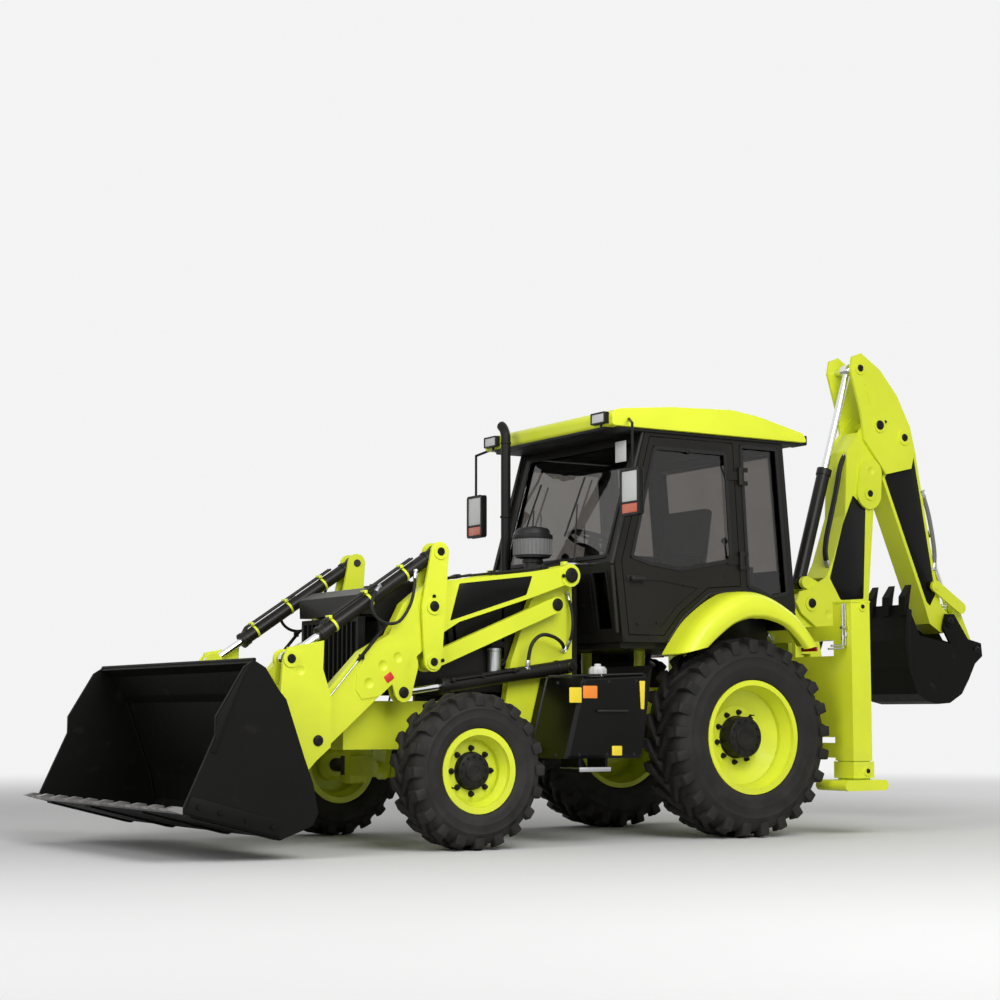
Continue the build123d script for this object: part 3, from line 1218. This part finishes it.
def make_dipper():
    head = polygon(
        (-1749, 3555),
        (-1938, 3441),
        (-2108, 3254),
        (-2236, 3023),
        (-2283, 2839),
        (-2240, 2700),
        (-1980, 2640),
        (-1900, 2740),
        (-1770, 2890),
        (-1737, 3100),
        (-1640, 3420),
        (-1660, 3520),
    )
    box = polygon(
        (-2040, 2780),
        (-1975, 2607),
        (-2378, 1672),
        (-2436, 1512),
        (-2560, 1440),
        (-2650, 1470),
        (-2680, 1560),
        (-2556, 1650),
        (-2474, 2030),
        (-2321, 2845),
        (-2150, 3010),
    )
    plates = side(head, HEAD_IN, HEAD_OUT) + side(head, -HEAD_OUT, -HEAD_IN)
    # Rings stand round the three pins, and a long dent stiffens each plate.
    stiffener = strap((-1782, 3307), 11, (-1825, 3157), 11)
    for s in SIDES:
        boss_y = sorted((s * (HEAD_OUT - 1), s * (HEAD_OUT + BOSS)))
        for place, radius in ((DIPPER_PIVOT, 56), (DIPPER_RAM_EYE, 50), (BUCKET_RAM_BASE, 58)):
            plates += pin(place, boss_y[0], boss_y[1], radius)
        dent_y = sorted((s * (HEAD_OUT - 5), s * (HEAD_OUT + 1)))
        plates -= side(stiffener, dent_y[0], dent_y[1])
    plates -= pin(DIPPER_PIVOT, -HEAD_OUT - BOSS - 1, HEAD_OUT + BOSS + 1, 36 + PIN_CLEARANCE)
    body = side(box, -DIPPER_HALF_WIDTH, DIPPER_HALF_WIDTH)
    spacer = head & box
    body += side(spacer, DIPPER_HALF_WIDTH, HEAD_IN) + side(spacer, -HEAD_IN, -DIPPER_HALF_WIDTH)
    body -= side(disc(DIPPER_PIVOT, 150), -HEAD_IN - 1, HEAD_IN + 1)
    # The bucket ram lies in a channel open to the rear.
    channel = [disc(BUCKET_RAM_BASE, 62), disc((-2640, 1850), 62), disc((-2700, 2850), 62)]
    body -= side(make_hull([edge for end in channel for edge in end.edges()]), -RAM_SLOT_HALF, RAM_SLOT_HALF)
    body -= pin(TIP_LEVER_PIVOT, -HEAD_IN, HEAD_IN, 26 + PIN_CLEARANCE)
    body -= pin(BUCKET_PIN, -HEAD_IN, HEAD_IN, 30 + PIN_CLEARANCE)
    dipper = plates + body
    dipper += pin(BUCKET_RAM_BASE, -HEAD_OUT - BOSS - PIN_HEAD, HEAD_OUT + BOSS + PIN_HEAD, 28)
    for s in SIDES:
        head_y = sorted((s * HEAD_OUT, s * (HEAD_OUT + BOSS + PIN_HEAD)))
        dipper += pin(DIPPER_RAM_EYE, head_y[0], head_y[1], 26)
    write("dipper", dipper)

    barrel, piston = cylinder(DIPPER_RAM_BASE, DIPPER_RAM_EYE, DIPPER_RAM_BARREL, 50, 28, DIPPER_RAM_TAIL, 0, 26, 35)
    piston += pin(DIPPER_RAM_EYE, -HEAD_IN + SIDE_GAP, HEAD_IN - SIDE_GAP, 26)
    write("dipper_ram_barrel", barrel)
    write("dipper_ram_rod", piston)
    barrel, piston = cylinder(BUCKET_RAM_BASE, TIP_LEVER_END, BUCKET_RAM_BARREL, 42, 25, BUCKET_RAM_TAIL, 0, 28, 30)
    write("bucket_ram_barrel", barrel)
    write("bucket_ram_rod", piston)


def make_dig_bucket():
    w = DIG_BUCKET_HALF_WIDTH
    outer = [
        (-2010, 1640),
        (-1986, 1372),
        (-2010, 1170),
        (-2095, 970),
        (-2200, 915),
        (-2300, 895),
        (-2422, 903),
        (-2549, 972),
        (-2626, 1083),
        (-2694, 1202),
        (-2708, 1302),
    ]
    t = 14
    inner = [
        (-2708 + t, 1302),
        (-2694 + t, 1206),
        (-2626 + t - 2, 1090),
        (-2549 + 9, 972 + t),
        (-2422 + 4, 903 + t),
        (-2300, 895 + t),
        (-2200 - 4, 915 + t),
        (-2095 - 9, 970 + 12),
        (-2010 - t, 1174),
        (-1986 - t, 1372),
        (-2010 - t, 1640),
    ]
    shell = side(polygon(*outer, *inner), -w, w)
    cheek = polygon(*outer, (-2129, 1409))
    for s in SIDES:
        y = sorted((s * w, s * (w - 16)))
        shell += side(cheek, y[0], y[1])
    # Ears on the back carry the dipper pin and the tipping link's pin.
    ear = polygon((-2640, 1300), (-2530, 1480), (-2560, 1590), (-2650, 1590), (-2790, 1400), (-2930, 1370),
                  (TIPPING_EAR_X, 1270), (-2820, 1180), (-2694, 1195), (-2622, 1075))
    for s in SIDES:
        y = sorted((s * (HEAD_IN + 6), s * (HEAD_IN + 26)))
        shell += side(ear, y[0], y[1])
    ear_out = HEAD_IN + 26
    for s in SIDES:
        boss_y = sorted((s * (ear_out - 1), s * (ear_out + BOSS)))
        shell += pin(BUCKET_PIN, boss_y[0], boss_y[1], 52)
    shell += pin(BUCKET_PIN, -ear_out - BOSS - PIN_HEAD, ear_out + BOSS + PIN_HEAD, 30)
    shell += pin(TIP_LINK_PIN, -ear_out - 8, ear_out + 8, 26)
    # Teeth on the lip, each a wedge.
    for y in (-270, -90, 90, 270):
        tooth = side(polygon((-2018, 1560), (-2040, 1700), (-2060, 1790), (-1990, 1700), (-1985, 1560)), y - 35, y + 35)
        shell += tooth
    write("backhoe_bucket", shell)

    # Two tipping levers outside the dipper, and one link to the bucket.
    lever = strap(TIP_LEVER_PIVOT, 45, TIP_LEVER_END, 45)
    y_in = HEAD_IN + 6
    plates = side(lever, y_in, y_in + 20) + side(lever, -y_in - 20, -y_in)
    levers = plates + pin(TIP_LEVER_PIVOT, -y_in - 26, y_in + 26, 26)
    write("tipping_levers", levers)
    link = side(strap(TIP_LEVER_END, 42, TIP_LINK_PIN, 48), -70, 70)
    fork_end = along(TIP_LEVER_END, TIP_LINK_PIN, 150)
    link -= side(strap(TIP_LEVER_END, 70, fork_end, 70), -36, 36)
    link -= pin(TIP_LINK_PIN, -71, 71, 26 + PIN_CLEARANCE)
    write("tipping_link", link)


os.makedirs("parts", exist_ok=True)
make_wheels()
make_axles()
make_chassis()
make_hood()
make_stacks()
make_side_tanks()
make_loader_arms()
make_levers()
make_loader_cylinders()
make_hitch()
make_loader_bucket()
make_cab()
make_doors()
make_roof()
make_interior()
make_fenders()
make_lights_and_mirrors()
make_slide_frame()
make_carriage()
make_kingpost()
make_boom()
make_dipper()
make_dig_bucket()
